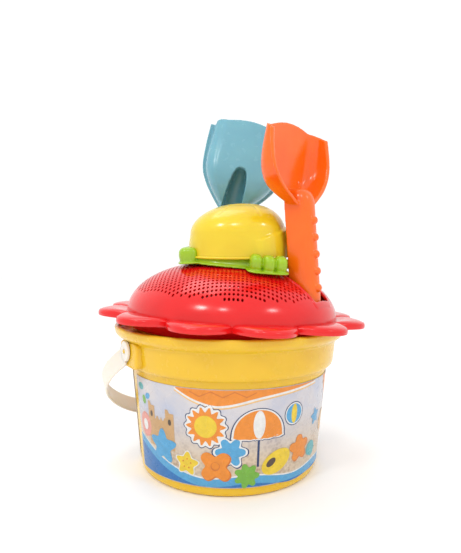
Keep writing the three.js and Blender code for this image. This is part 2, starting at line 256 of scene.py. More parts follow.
def mapped(tree, source, low, high):
    """The source's middle range stretched to low..high."""
    spread = tree.nodes.new("ShaderNodeMapRange")
    spread.inputs["From Min"].default_value = 0.3
    spread.inputs["From Max"].default_value = 0.7
    spread.inputs["To Min"].default_value = low
    spread.inputs["To Max"].default_value = high
    tree.links.new(source, spread.inputs["Value"])
    return spread.outputs["Result"]


def mixed(tree, factor, first, second):
    """Two colours mixed by a factor socket; each is a colour or a socket."""
    mix = tree.nodes.new("ShaderNodeMix")
    mix.data_type = "RGBA"
    tree.links.new(factor, mix.inputs["Factor"])
    for socket, value in ((mix.inputs[6], first), (mix.inputs[7], second)):
        if isinstance(value, bpy.types.NodeSocket):
            tree.links.new(value, socket)
        else:
            socket.default_value = (*value, 1)
    return mix.outputs[2]


def shaded(colour, share):
    return tuple(min(channel * share, 1) for channel in colour)


def uneven_gloss(tree, shader, texture, low, high):
    """Roughness that wanders between low and high."""
    tree.links.new(mapped(tree, texture.outputs["Fac"], low, high), shader.inputs["Roughness"])


def moulded(name, colour, deep, gloss, scatter, coat):
    """Injection-moulded plastic: faint flow marks in the colour, uneven gloss and a fine orange-peel skin."""
    material, tree, shader = node_tree(name)
    flow = mapped(tree, noise_node(tree, 38).outputs["Fac"], 0, 1)
    tree.links.new(mixed(tree, flow, colour, deep), shader.inputs["Base Color"])
    uneven_gloss(tree, shader, noise_node(tree, 160, 6), gloss - 0.03, gloss + 0.05)
    skin = tree.nodes.new("ShaderNodeBump")
    skin.inputs["Strength"].default_value = 0.04
    skin.inputs["Distance"].default_value = 0.0004
    tree.links.new(noise_node(tree, 420, 3).outputs["Fac"], skin.inputs["Height"])
    tree.links.new(skin.outputs["Normal"], shader.inputs["Normal"])
    shader.inputs["Subsurface Weight"].default_value = scatter
    shader.inputs["Subsurface Radius"].default_value = (0.004, 0.003, 0.002)
    shader.inputs["Subsurface Scale"].default_value = 1.0
    shader.inputs["Coat Weight"].default_value = coat
    shader.inputs["Coat Roughness"].default_value = 0.12
    shader.inputs["IOR"].default_value = 1.46
    return material


INK_SHARE = 0.8  # how much of an ink's named colour the print reflects
FILM_GLOSS = (0.22, 0.34)
SAND_LEVEL, SKY_LEVEL = 0.030, 0.062  # heights in metres between which the label's sand turns into sky


def printed(name, colour, variation=0.12):
    """Ink on glossy film, with the slight mottling of a cheap print."""
    material, tree, shader = node_tree(name)
    tone = mapped(tree, noise_node(tree, 260, 5).outputs["Fac"], 0, 1)
    both = mixed(tree, tone, shaded(colour, INK_SHARE), shaded(colour, INK_SHARE - variation))
    tree.links.new(both, shader.inputs["Base Color"])
    uneven_gloss(tree, shader, noise_node(tree, 90), *FILM_GLOSS)
    return material


def beach_print(name):
    """The label's ground: a hazy sky above, pale sand with pebbles below."""
    material, tree, shader = node_tree(name)
    place = tree.nodes.new("ShaderNodeTexCoord")
    apart = tree.nodes.new("ShaderNodeSeparateXYZ")
    tree.links.new(place.outputs["Object"], apart.inputs["Vector"])
    level = tree.nodes.new("ShaderNodeMapRange")
    level.inputs["From Min"].default_value = SAND_LEVEL
    level.inputs["From Max"].default_value = SKY_LEVEL
    tree.links.new(apart.outputs["Z"], level.inputs["Value"])
    clouds = mapped(tree, noise_node(tree, 42, 5).outputs["Fac"], 0, 1)
    sky = mixed(tree, clouds, (0.40, 0.44, 0.56), (0.60, 0.56, 0.55))
    pebbles = tree.nodes.new("ShaderNodeTexVoronoi")
    pebbles.inputs["Scale"].default_value = 420
    tree.links.new(place.outputs["Object"], pebbles.inputs["Vector"])
    grains = mapped(tree, pebbles.outputs["Distance"], 0, 1)
    sand = mixed(tree, grains, (0.34, 0.24, 0.16), (0.56, 0.44, 0.32))
    drift = mapped(tree, noise_node(tree, 60).outputs["Fac"], 0, 1)
    ground = mixed(tree, drift, sand, (0.60, 0.50, 0.38))
    tree.links.new(mixed(tree, level.outputs["Result"], ground, sky), shader.inputs["Base Color"])
    uneven_gloss(tree, shader, noise_node(tree, 90), *FILM_GLOSS)
    return material


def floor_paint(name):
    material, tree, shader = node_tree(name)
    cloud = mapped(tree, noise_node(tree, 3).outputs["Fac"], 0, 1)
    tree.links.new(mixed(tree, cloud, (0.97, 0.97, 0.97), (0.96, 0.96, 0.96)), shader.inputs["Base Color"])
    shader.inputs["Roughness"].default_value = 0.6
    return material


YELLOW = moulded("bucket_yellow", (0.76, 0.47, 0.017), (0.745, 0.45, 0.014), 0.24, 0.25, 0.15)
WHITE = moulded("bail_white", (0.79, 0.74, 0.66), (0.75, 0.69, 0.60), 0.38, 0.35, 0.1)
RED = moulded("lid_red", (0.74, 0.006, 0.007), (0.66, 0.004, 0.005), 0.18, 0.05, 0.15)
GREEN = moulded("turtle_green", (0.33, 0.54, 0.012), (0.28, 0.47, 0.008), 0.22, 0.2, 0.15)
SHELL_YELLOW = moulded("shell_yellow", (0.77, 0.58, 0.02), (0.73, 0.53, 0.014), 0.18, 0.3, 0.2)
ORANGE = moulded("shovel_orange", (0.90, 0.145, 0.003), (0.84, 0.12, 0.002), 0.2, 0.1, 0.15)
BLUE = moulded("shovel_blue", (0.16, 0.40, 0.48), (0.14, 0.36, 0.45), 0.24, 0.3, 0.15)


# ---- Bucket ---------------------------------------------------------------------------

BODY = {"foot": 76, "taper": 0.094}  # radius at the floor, and how it grows with height
FOOT_ROUND = 4
UNDERSIDE = 1.4  # height of the underside's flat middle
FLARE = {"radius": 92, "out": 7, "height": 111, "rise": 7.5}
PAD = {"half_size": (18, 4.6, 10.2), "height": 101.5}
STUD = [(0, 0), (1.8, 0), (1.8, 3.6), (1.5, 4.2), (0.8, 4.5), (0, 4.6)]
STUD_SUNK = 1.2  # how deep the stud starts inside its pad


def body_radius(height):
    return BODY["foot"] + BODY["taper"] * height


def bucket_profile():
    """The outer section from the middle of the underside to the lip."""
    foot = []
    for angle in steps(-90, 0, 6):
        turned = math.radians(angle)
        radius = BODY["foot"] - FOOT_ROUND + FOOT_ROUND * math.cos(turned)
        foot.append((radius, FOOT_ROUND + FOOT_ROUND * math.sin(turned)))
    body = [(body_radius(height), height) for height in (12, 45, 80, 86)]
    step = [(84.3, 88.1), (85.0, 88.8), (86.4, 89.1), (88.0, 89.5), (89.2, 90.6), (90.0, 92.6), (90.6, 96)]
    collar = [(91.3, 103), (91.9, 109.4), (92.1, 110.6)]
    flare = []
    for t in steps(0.12, 1, 9):
        radius = FLARE["radius"] + FLARE["out"] * math.sin(t * math.pi / 2)
        flare.append((radius, FLARE["height"] + FLARE["rise"] * t**1.35))
    lip = [(99.3, 119.4), (99.3, 120.4), (98.8, 121.2), (98.1, 121.5)]
    base = [(0, UNDERSIDE), (40, UNDERSIDE), (66, 1.2), (68.5, 0.3)]
    return base + foot + body + step + collar + flare + lip


def bucket_shell():
    """The bucket's wall and floor. The floor thins to nothing at its centre."""
    outer = bucket_profile()
    inner = [(max(radius - WALL, 0), max(height, WALL + UNDERSIDE)) for radius, height in outer]
    return lathe(outer + list(reversed(inner[1:])), 192)


def ear(azimuth):
    """The pad the bail leans on, and its plain stud."""
    turned = turn_about(azimuth, "Z")
    pad = rounded_block(PAD["half_size"], (0, PAD["half_size"][1] - PAD_FACE, PAD["height"]), 6, 18)
    outwards = placement((0, STUD_SUNK - PAD_FACE, PIVOT.z), (90, "X"))
    return [placed(pad, turned), placed(lathe(STUD, 48), turned @ outwards)]


def make_bucket():
    shell = mesh_object("bucket_shell", bucket_shell())
    piece(shell, "bucket", "bucket", YELLOW, 50)
    azimuth = math.degrees(math.atan2(-BAIL_AXIS.x, BAIL_AXIS.y))
    ears = joined(ear(azimuth) + ear(azimuth + 180))
    piece(mesh_object("bucket_ears", ears), "bucket", "bucket", YELLOW, 50)


# ---- Label -----------------------------------------------------------------------------

LABEL_START = -63  # azimuth of the film's left edge
LABEL_SWEEP = 348  # degrees that the film goes round
ART_COPIES = 2
ART_BOTTOM, ART_TOP = 8.6, 82.9  # heights that the printed bands reach
CASTLE_BASE = 32


def on_label(azimuth, height, lift):
    return heading(azimuth) * (body_radius(height) + lift) + Vector((0, 0, height))


def label_film():
    rings = []
    for azimuth in steps(LABEL_START, LABEL_START + LABEL_SWEEP, 232):
        outer = [on_label(azimuth, height, 0.6) for height in steps(LABEL_BOTTOM, LABEL_TOP, 8)]
        inner = [on_label(azimuth, height, 0.2) for height in steps(LABEL_TOP, LABEL_BOTTOM, 8)]
        rings.append(outer + inner)
    return loft(rings)


def sheet(rows, looped=False):
    """An open sheet through rows of points."""
    return loft(rows, closed=looped, capped=False)


def band(start, end, low, high, lift):
    """A strip between two edges that are heights given by azimuth."""
    rows = []
    for azimuth in steps(start, end, max(int((end - start) * 1.2), 4)):
        bottom, top = low(azimuth), high(azimuth)
        rows.append([on_label(azimuth, height, lift) for height in steps(bottom, top, 3)])
    return sheet(rows)


def figure(azimuth, height, outline, lift, tilt=0):
    """A filled figure whose outline is a radius for each angle, in mm round its middle."""
    rows = []
    for share in (0.02, 0.35, 0.7, 1):
        row = []
        for i in range(72):
            angle = 2 * math.pi * i / 72
            radius = outline(angle) * share
            across = radius * math.cos(angle + tilt)
            up = radius * math.sin(angle + tilt)
            row.append(on_label(azimuth + math.degrees(across / body_radius(height)), height + up, lift))
        rows.append(row)
    return sheet(rows, looped=True)


def star(size, points=5, depth=0.42):
    return lambda angle: size * (1 - depth * (0.5 - 0.5 * math.cos(points * angle)) ** 0.8)


def petals(size, points=5, depth=0.2):
    return lambda angle: size * (1 - depth * abs(math.sin(points * angle / 2)) ** 3)


def ellipse(a, b):
    return lambda angle: a * b / math.hypot(b * math.cos(angle), a * math.sin(angle))


def fan(size):
    """A scallop shell: a ribbed fan above a narrow hinge."""
    def outline(angle):
        opening = 0.5 + 0.5 * math.sin(angle)
        return size * (0.35 + 0.65 * opening**0.7) * (1 - 0.06 * abs(math.sin(5 * angle)))
    return outline


def half_round(size):
    """A beach umbrella's top: a dome with a scalloped lower edge."""
    def outline(angle):
        up = math.sin(angle)
        if up >= 0:
            return size
        flat = size * 0.16 / max(-up, 0.16)
        return flat * (1 + 0.08 * math.cos(14 * angle))
    return outline


def castle_top(azimuth, height, width):
    """Crenellations: the height of a wall that steps up and down along the label."""
    return lambda at: height + (2.6 if math.sin((at - azimuth) / width * 22) > 0 else 0)


INKS = {
    "ink_white": (0.90, 0.90, 0.88),
    "ink_orange": (0.93, 0.30, 0.03),
    "ink_peach": (0.93, 0.56, 0.22),
    "ink_rust": (0.72, 0.20, 0.03),
    "ink_blue": (0.03, 0.20, 0.55),
    "ink_sky": (0.10, 0.42, 0.74),
    "ink_teal": (0.12, 0.48, 0.52),
    "ink_yellow": (0.92, 0.66, 0.04),
    "ink_green": (0.20, 0.50, 0.06),
    "ink_pink": (0.86, 0.34, 0.28),
    "ink_navy": (0.02, 0.05, 0.16),
    "ink_sand": (0.66, 0.40, 0.18),
    "ink_dark": (0.10, 0.07, 0.05),
}


def wave_top(at):
    return 16 + 21 * bump_at(at, -66, 22) + 1.8 * math.sin(math.radians(at * 7)) - 0.03 * at


def swoosh(at):
    """The lower edge of the orange band at the top, dipping at the left and rising to the right."""
    knots = [(-29, 82.6), (-18, 75), (-5, 71), (17, 77), (35, 80), (54, 82.6)]
    return smooth_between(knots, at)


def label_art(turn):
    """Generic beach pictures as (ink, shape), from the ground up."""
    def at(azimuth):
        return azimuth + turn

    def zigzag(azimuth):
        return 79.6 + 2.0 * math.asin(math.sin(math.radians(azimuth * 30))) / 1.57

    def corner_edge(azimuth):
        return ART_TOP - 2.4 * (azimuth - 66)

    def local(edge, offset=0.0):
        return lambda azimuth: edge(azimuth - turn) + offset

    art = [
        ("ink_peach", band(at(-29), at(54), local(swoosh, -2.6), local(swoosh, 0.4), 0.64)),
        ("ink_white", band(at(-29), at(54), local(swoosh, -1.5), local(swoosh, 0.2), 0.68)),
        ("ink_orange", band(at(-28), at(52), local(swoosh, 0.2), lambda _: ART_TOP, 0.72)),
        ("ink_orange", band(at(66), at(82), local(corner_edge), lambda _: ART_TOP, 0.72)),
        ("ink_rust", band(at(-20), at(14), local(zigzag, -0.4), local(zigzag, 0.4), 0.76)),
        ("ink_white", band(at(-62), at(100), lambda _: ART_BOTTOM, local(wave_top, 1.1), 0.64)),
        ("ink_sky", band(at(-62), at(100), lambda _: ART_BOTTOM, local(wave_top), 0.70)),
        ("ink_blue", band(at(-62), at(100), lambda _: ART_BOTTOM, local(wave_top, -6), 0.74)),
        ("ink_teal", figure(at(-57), 76, ellipse(4.5, 3), 0.68)),
        ("ink_sky", figure(at(-50), 70, ellipse(3.4, 2.4), 0.68, 0.5)),
        ("ink_green", figure(at(-54), 66, ellipse(2.6, 3.6), 0.70, 0.3)),
    ]
    # A sand castle with two towers where the sand rises at the left.
    for azimuth, width, top in ((-40, 11, 54), (-47, 4, 64), (-33, 4, 61)):
        half = width / 1.4
        edge = castle_top(at(azimuth), top, width)
        wall = band(at(azimuth - half), at(azimuth + half), lambda _: CASTLE_BASE, edge, 0.70)
        art.append(("ink_sand", wall))
    for azimuth, height in ((-47, 57), (-33, 54), (-40, 40)):
        art.append(("ink_dark", figure(at(azimuth), height, ellipse(1.5, 2.4), 0.76)))
    # A swim ring, the sun, an umbrella with its pole, and a ball.
    art += [
        ("ink_pink", figure(at(-54), 46, ellipse(8, 10), 0.72)),
        ("ink_white", figure(at(-54), 46, ellipse(3.4, 4.6), 0.78)),
        ("ink_navy", figure(at(-12), 55, petals(17.2, 14, 0.12), 0.68)),
        ("ink_white", figure(at(-12), 55, petals(16.4, 14, 0.12), 0.72)),
        ("ink_orange", figure(at(-12), 55, star(15.4, 14, 0.3), 0.76)),
        ("ink_yellow", figure(at(-12), 55, ellipse(8.4, 8.4), 0.82)),
        ("ink_navy", figure(at(16), 47.6, half_round(21.4), 0.70)),
        ("ink_white", figure(at(16), 48, half_round(20.4), 0.74)),
        ("ink_orange", figure(at(16), 48.6, half_round(18.8), 0.80)),
        ("ink_white", figure(at(16), 56.4, ellipse(4.6, 10.6), 0.86)),
        ("ink_navy", band(at(15.4), at(16.6), lambda _: 24, lambda _: 50, 0.72)),
        ("ink_navy", figure(at(37), 61, ellipse(9.3, 9.3), 0.68)),
        ("ink_white", figure(at(37), 61, ellipse(8.6, 8.6), 0.72)),
        ("ink_sky", figure(at(37), 61, ellipse(7.6, 7.6), 0.78)),
        ("ink_yellow", figure(at(37), 61, ellipse(2.8, 7.5), 0.84)),
        ("ink_navy", figure(at(1), 36, petals(13.8, 6, 0.3), 0.66)),
        ("ink_white", figure(at(1), 36, petals(12.8, 6, 0.3), 0.70)),
        ("ink_sky", figure(at(1), 36, petals(11.2, 6, 0.36), 0.76)),
        ("ink_sky", figure(at(-39), 34, star(14), 0.86, 0.3)),
        ("ink_white", figure(at(-23), 25, star(10.4, 5, 0.35), 0.84, 0.2)),
        ("ink_yellow", figure(at(-23), 25, star(9.4, 5, 0.38), 0.90, 0.2)),
        ("ink_rust", figure(at(-6.4), 24.4, petals(13.4, 4, 0.42), 0.84, 0.8)),
        ("ink_orange", figure(at(-7), 25, petals(13, 4, 0.42), 0.88, 0.8)),
        ("ink_rust", figure(at(-7), 25, ellipse(3.4, 3.4), 0.92)),
        ("ink_orange", figure(at(-7), 25.4, ellipse(2.7, 2.7), 0.95)),
        ("ink_green", figure(at(10), 17.5, petals(9.6, 7, 0.3), 0.86)),
        ("ink_yellow", figure(at(27), 26, ellipse(13, 8.4), 0.86, 0.5)),
        ("ink_dark", figure(at(23.6), 26, ellipse(4.4, 2.6), 0.92, 0.7)),
        ("ink_rust", figure(at(43.6), 31.4, petals(11, 5, 0.35), 0.84, 0.4)),
        ("ink_orange", figure(at(43), 32, petals(10.6, 5, 0.35), 0.88, 0.4)),
        ("ink_teal", figure(at(55), 24, fan(9), 0.86, -0.4)),
        ("ink_sky", figure(at(58), 52, star(7), 0.80, 0.5)),
        ("ink_peach", figure(at(74), 40, fan(13), 0.80, 0.2)),
        ("ink_white", figure(at(74), 41, ellipse(1.3, 8), 0.86, 0.2)),
        ("ink_yellow", figure(at(92), 58, petals(11, 9, 0.2), 0.80)),
        ("ink_pink", figure(at(95), 30, star(9), 0.86, 1.0)),
    ]
    for i in range(5):
        spot = 2 * math.pi * i / 5 + 0.2
        azimuth, height = -23 + 2.4 * math.cos(spot), 25 + 3.6 * math.sin(spot)
        art.append(("ink_rust", figure(at(azimuth), height, ellipse(0.6, 0.6), 0.95)))
    return art


def make_label():
    film = mesh_object("label_film", label_film())
    piece(film, "bucket", "label", beach_print("beach_print"))
    by_ink = {ink: [] for ink in INKS}
    for copy in range(ART_COPIES):
        for ink, shape in label_art(copy * LABEL_SWEEP / ART_COPIES):
            by_ink[ink].append(shape)
    for ink, shapes in by_ink.items():
        obj = mesh_object("label_" + ink, joined(shapes))
        modified(obj, ("SOLIDIFY", {"thickness": 0.03 * MM, "offset": 0}))
        piece(obj, "bucket", "label", printed(ink, INKS[ink]))


# ---- Bail ---------------------------------------------------------------------------------

ARCH_POWER = 0.96  # just under 1, which makes the bail's arch a little fuller than an ellipse
BOW = {"start": 9.7, "length": 55, "power": 2.3}  # where the strap bends out past the pads
STRAP = {"start": 5.2, "half_width": 8.0, "half_thickness": 1.1, "bead": 0.25}
EYE_CORNERS = [(2.1, 1.0), (2.5, 1.3), (7.2, 1.3), (8.0, 0.8)]  # radius and half thickness, hole to edge


def bail_point(turn):
    """The strap's centre line in the bail's own plane: across the bucket, and away from the pivots."""
    away = BAIL_REACH * math.sin(math.radians(turn)) ** ARCH_POWER
    share = min(max((away - BOW["start"]) / BOW["length"], 0), 1)
    bow = EYE_OUT + (BAIL_HALF_WIDTH - EYE_OUT) * (1 - (1 - share) ** BOW["power"])
    return Vector((bow * math.cos(math.radians(turn)), away, 0))


def strap_ring(turn):
    """The strap's rounded flat section at one turn, with a thicker bead along both edges."""
    here = bail_point(turn)
    along = (bail_point(turn + 0.5) - bail_point(turn - 0.5)).normalized()
    across = Vector((along.y, -along.x, 0))
    ring = []
    for i in range(28):
        angle = 2 * math.pi * i / 28
        width = STRAP["half_width"] * signed_power(math.cos(angle), 0.35)
        bead = STRAP["bead"] * bump_at(abs(width), 7, 1.4)
        out = (STRAP["half_thickness"] + bead) * signed_power(math.sin(angle), 0.6)
        ring.append(here + across * out + Vector((0, 0, width)))
    return ring


def eye(side):
    """The round end of the strap, with its hole for the stud."""
    section = [(radius, -half) for radius, half in EYE_CORNERS] + list(reversed(EYE_CORNERS))
    return placed(lathe(section, 64), placement((side * EYE_OUT, 0, 0), (90, "Y")))


def make_bail():
    start = math.degrees(math.asin((STRAP["start"] / BAIL_REACH) ** (1 / ARCH_POWER)))
    turns = steps(start, 90, 60)
    turns += [180 - turn for turn in reversed(turns[:-1])]
    strap = loft([strap_ring(turn) for turn in turns])
    obj = mesh_object("bail_strap", joined([strap, eye(1), eye(-1)]), BAIL_PLACE)
    piece(obj, "bail", "bail", WHITE, 50)


# ---- Lid -----------------------------------------------------------------------------------

DOME = {"radius": 90.9, "rise": 45.3, "fullness": 2.35, "flatness": 1.94}
HOLES = {"pitch": 3.2, "radius": 1.0, "reach": 84.7, "slot_margin": 3.4, "edge_margin": 2.6}
SIEVE_WALL = 1.6
SLOTS = [
    {"azimuth": 57.5, "radius": 70, "turn": 57.5, "radial": 28, "across": 27.5},
    {"azimuth": 199.5, "radius": 58, "turn": 180, "radial": 26, "across": 31},
]
PETALS = {"count": 12, "notch": 95.4, "tip": 114.2, "top": 1.0, "bottom": -3.8, "pillow": 2.3}
PLUG = {"radius": 88.4, "depth": 12}


def dome_height(radius):
    share = min(radius / DOME["radius"], 1) ** DOME["fullness"]
    return DOME["rise"] * (1 - share) ** (1 / DOME["flatness"])


def slot_reach(x, y, slot):
    """How far outside a slot's rectangle a point lies; negative inside it."""
    centre = heading(slot["azimuth"]) * slot["radius"]
    turned = Matrix.Rotation(-math.radians(slot["turn"]), 3, "Z") @ (Vector((x, y, 0)) - centre)
    return max(abs(turned.x) - slot["across"] / 2, abs(turned.y) - slot["radial"] / 2)


def sieve_cell(column, row, points, index):
    """The faces of one cell of the sieve: eight round its hole, and eight more where it is plain."""
    pitch = HOLES["pitch"]
    centre = Vector((column * pitch, row * pitch))
    edge_reach = min(slot_reach(centre.x, centre.y, slot) for slot in SLOTS)
    holed = centre.length < HOLES["reach"] - HOLES["radius"] and edge_reach > HOLES["slot_margin"]

    def corner(i, j):
        key = (2 * column + i, 2 * row + j)
        if key not in index:
            index[key] = len(points)
            points.append(Vector((key[0] * pitch / 2, key[1] * pitch / 2)))
        return index[key]

    rim = ((1, 0), (1, 1), (0, 1), (-1, 1), (-1, 0), (-1, -1), (0, -1), (1, -1))
    around = [corner(i, j) for i, j in rim]
    first = len(points)
    for i in range(8):
        angle = math.pi * i / 4
        points.append(centre + Vector((math.cos(angle), math.sin(angle))) * HOLES["radius"])
    faces = [(around[i], around[(i + 1) % 8], first + (i + 1) % 8, first + i) for i in range(8)]
    if not holed:
        faces.append(tuple(range(first, first + 8)))
    return faces


def sieve():
    """The perforated dome's outer face, without the cells that the slots reach."""
    reach = int(DOME["radius"] / HOLES["pitch"]) + 1
    points, index, faces = [], {}, []
    for column in range(-reach, reach + 1):
        for row in range(-reach, reach + 1):
            if math.hypot(column, row) * HOLES["pitch"] < HOLES["reach"] + HOLES["edge_margin"]:
                faces += sieve_cell(column, row, points, index)
    cut = [any(slot_reach(p.x, p.y, slot) < 0 for slot in SLOTS) for p in points]
    faces = [face for face in faces if not any(cut[i] for i in face)]
    used = sorted({i for face in faces for i in face})
    renumbered = {old: new for new, old in enumerate(used)}
    raised = [Vector((points[i].x, points[i].y, dome_height(points[i].length) - 0.15)) for i in used]
    return raised, [tuple(renumbered[i] for i in face) for face in faces]


def slot_rim(slot):
    """The raised rim round a slot, which follows the dome."""
    centre = heading(slot["azimuth"]) * slot["radius"]
    turned = Matrix.Rotation(math.radians(slot["turn"]), 3, "Z")
    section = [(0, -1.9), (0, 0.2), (0.5, 0.75), (1.4, 0.9), (2.3, 0.7), (2.9, 0.1), (2.9, -0.6), (1.5, -1.9)]
    rings = []
    for i in range(96):
        angle = 2 * math.pi * i / 96
        ring = []
        for out, up in section:
            x = (slot["across"] / 2 + out) * signed_power(math.cos(angle), 0.22)
            y = (slot["radial"] / 2 + out) * signed_power(math.sin(angle), 0.22)
            spot = turned @ Vector((x, y, 0)) + centre
            ring.append(Vector((spot.x, spot.y, dome_height(spot.length) + up)))
        rings.append(ring)
    return loft(rings, looped=True)


def dome_border():
    """The plain outer part of the dome, down to the petals, and the plug below it."""
    outer = []
    for angle in steps(0, 33, 12):
        turned = math.radians(angle)
        radius = DOME["radius"] * math.cos(turned) ** (2 / DOME["fullness"])
        outer.append((radius, DOME["rise"] * math.sin(turned) ** (2 / DOME["flatness"])))
    outer = [(radius, height) for radius, height in outer if radius > HOLES["reach"]]
    edge = HOLES["reach"]
    height = dome_height(edge)
    plug, bottom = PLUG["radius"], -PLUG["depth"]
    top = [(edge, height - 0.02), (edge - 0.3, height - 0.3)]
    inner = [(edge - 0.4, height - 1.9), (plug - WALL, 8), (plug - WALL, bottom)]
    skirt = [(plug - 0.5, bottom), (plug, 0.5 + bottom), (plug, -0.8)]
    foot = [(DOME["radius"] + 1.5, -0.8), (DOME["radius"] + 1.2, 0.4)]
    return lathe(inner + skirt + foot + outer + top, 192)


def petal_ring(turn):
    """The section of the petals at one turn: a pillow between grooves, rolled down at the outer edge."""
    offset = 2 * (turn % 1) - 1
    edge = PETALS["tip"] - (PETALS["tip"] - PETALS["notch"]) * offset**2
    start = PLUG["radius"] + 0.6
    fullness = (1 - abs(offset) ** 5) ** 0.7
    ring = []
    for t in steps(0, 0.97, 9):
        pillow = PETALS["pillow"] * fullness * math.sin(math.pi * min(t * 1.02, 1) ** 1.3) ** 0.8
        ring.append((start + (edge - start) * t, PETALS["top"] - 0.5 + pillow - 0.5 * (1 - fullness)))
    roll = [(edge - 0.35, 0.1), (edge, -0.7), (edge + 0.1, -2.6)]
    roll += [(edge - 0.3, -3.6), (edge - 1.0, PETALS["bottom"]), (edge - 1.7, -3.2)]
    ring += [(radius, height - 0.3 * (1 - fullness)) for radius, height in roll]
    ring += [(start + (edge - 2.2 - start) * t, -1.2) for t in (1, 0.5, 0)]
    out = heading(360 * turn / PETALS["count"])
    return [out * radius + Vector((0, 0, height)) for radius, height in ring]


def make_lid():
    dome = mesh_object("lid_sieve", sieve(), LID_PLACE)
    for polygon in dome.data.polygons:
        if polygon.normal.z < 0:
            polygon.flip()
    modified(dome, ("SOLIDIFY", {"thickness": SIEVE_WALL * MM, "offset": -1}))
    piece(dome, "lid", "lid", RED, 45)
    border = joined([dome_border(), *(slot_rim(slot) for slot in SLOTS)])
    piece(mesh_object("lid_border", border, LID_PLACE), "lid", "lid", RED, 50)
    turns = [i / 20 for i in range(20 * PETALS["count"])]
    petals_ring = loft([petal_ring(turn) for turn in turns], looped=True)
    piece(mesh_object("lid_petals", petals_ring, LID_PLACE), "lid", "lid", RED, 50)


# ---- Turtle mould -----------------------------------------------------------------------------

TOE = {"half_size": (5.0, 7.4, 6.8), "pitch": 9.9}
FRONT_FOOT = (24.4, -26.6, 9.5)  # x, y and azimuth of one foot of each pair
REAR_FOOT = (-27, -13, -85)
TRUNK = {"length": 38, "width": 32.8}  # half axes


def foot(x, y, azimuth):
    """Three soft toes side by side on a thin sole that stands out as a lip."""
    toes = []
    for toe in (-1, 0, 1):
        centre = (toe * TOE["pitch"], abs(toe) * 1.2 - 12.4, TOE["half_size"][2])
        toes.append(rounded_block(TOE["half_size"], centre, 2.7, 18))
    sole = rounded_block((17.2, 12, 1.1), (0, -8.4, 1.0), 4, 16)
    place = placement((x, y, 0), (azimuth, "Z"), (8, "X"))
    return [placed(shape, place) for shape in [*toes, sole]]


def trunk(inset):
    """The low wall and flaring skirt under the shell."""
    below = [(7, -30)] if inset else []
    wall = below + [(4.4, -0.6), (4.2, 0.6), (3, 1.6), (1.6, 5), (0.3, 9), (0, 12 - inset)]
    a, b = TRUNK["length"] - inset, TRUNK["width"] - inset
    rings = [oval(a + flare, b + flare, height) for flare, height in wall]
    return loft(rings)


def head():
    """The head on its neck in front of the shell, with two round eyes."""
    chest = rounded_block((11, 6, 4), (43, 0, 4), 4, 14)
    neck = rounded_block((5.6, 5.6, 15), (54, 0, 14), 2.6, 16)
    skull = rounded_block((8, 8, 9), (54, 0, 28), 2.2, 18)
    eyes = [rounded_block((1.5, 1.5, 1.5), (58.5, 5.4 * side, 31), 2, 8) for side in (-1, 1)]
    return [chest, neck, skull, *eyes]


def soft_union(obj, voxel, rounds):
    """Melts overlapping solids into one smooth moulding."""
    melt = ("REMESH", {"mode": "VOXEL", "voxel_size": voxel * MM})
    modified(obj, melt, ("SMOOTH", {"factor": 0.5, "iterations": rounds}))


def cut(obj, shape, place):
    """Takes a closed shape out of the object."""
    cutter = mesh_object("cutter", shape, place)
    settings = {"operation": "DIFFERENCE", "object": cutter, "solver": "EXACT", "use_self": True}
    modified(obj, ("BOOLEAN", settings))
    bpy.data.objects.remove(cutter)


def make_turtle_body():
    feet = []
    for x, y, azimuth in (FRONT_FOOT, REAR_FOOT):
        feet += foot(x, y, azimuth) + foot(x, -y, 180 - azimuth)
    body = mesh_object("turtle_body_moulding", joined([trunk(0), *head(), *feet]), BODY_PLACE)
    cut(body, trunk(WALL), BODY_PLACE)
    soft_union(body, 0.6, 2)
    piece(body, "turtle_body", "turtle_body", GREEN, 60)


SHELL = {"length": 42.3, "width": 37, "height": 44.4, "wall": 18.4, "crown_shift": 4.5}
FLAP = {"reach": 68, "out": 1.7}  # degrees to each side of the head, and how far it stands out
SCUTE_GROOVE = 0.75


def scute_depth(x, y):
    """How deep the thin lines between the scutes are at one place of the plan."""
    a, b = x / SHELL["length"], y / SHELL["width"]
    out = math.hypot(a, b)
    around = math.atan2(b, a)
    hexagon = 0.34 / max(math.cos((around % (math.pi / 3)) - math.pi / 6), 0.5)
    rim_line = bump_at(out, hexagon, 0.022)
    spoke_angle = abs((around + math.pi / 6) % (math.pi / 3) - math.pi / 6)
    spoke = bump_at(spoke_angle * out, 0, 0.018) if hexagon < out < 0.82 else 0
    return SCUTE_GROOVE * max(rim_line, spoke)


def shell_ring(a, b, height):
    return oval(a, b, height, 2.3, 200)


def flapped(point):
    """The point moved outwards where the shell has its raised flap over the head."""
    around = math.degrees(math.atan2(point.y, point.x))
    if abs(around) > FLAP["reach"] or point.xy.length < 1:
        return point
    ridge = 14 + 10 * math.cos(math.radians(around * 90 / FLAP["reach"]))
    share = min(max((ridge - point.z) / 1.2 + 0.5, 0), 1) * min((FLAP["reach"] - abs(around)) / 8, 1)
    out = Vector((point.x, point.y, 0)).normalized()
    return point + out * (FLAP["out"] * share)


def shell_surface(inset):
    """Rings of the shell from its rim to its crown."""
    a, b = SHELL["length"] - inset, SHELL["width"] - inset
    rings = []
    for height in steps(0, SHELL["wall"], 16):
        scale = 1 - 0.04 * (height / SHELL["wall"]) ** 2
        rings.append(shell_ring(a * scale, b * scale, height))
    rise = SHELL["height"] - SHELL["wall"] - inset
    for angle in steps(4, 88, 40):
        turned = math.radians(angle)
        scale = 0.96 * math.cos(turned) ** 0.92
        shift = SHELL["crown_shift"] * math.sin(turned) ** 2
        ring = shell_ring(a * scale, b * scale, SHELL["wall"] + rise * math.sin(turned))
        lines = [0 if inset else scute_depth(point.x, point.y) for point in ring]
        rings.append([point + Vector((shift, 0, -depth)) for point, depth in zip(ring, lines)])
    return [[flapped(point) for point in ring] for ring in rings]


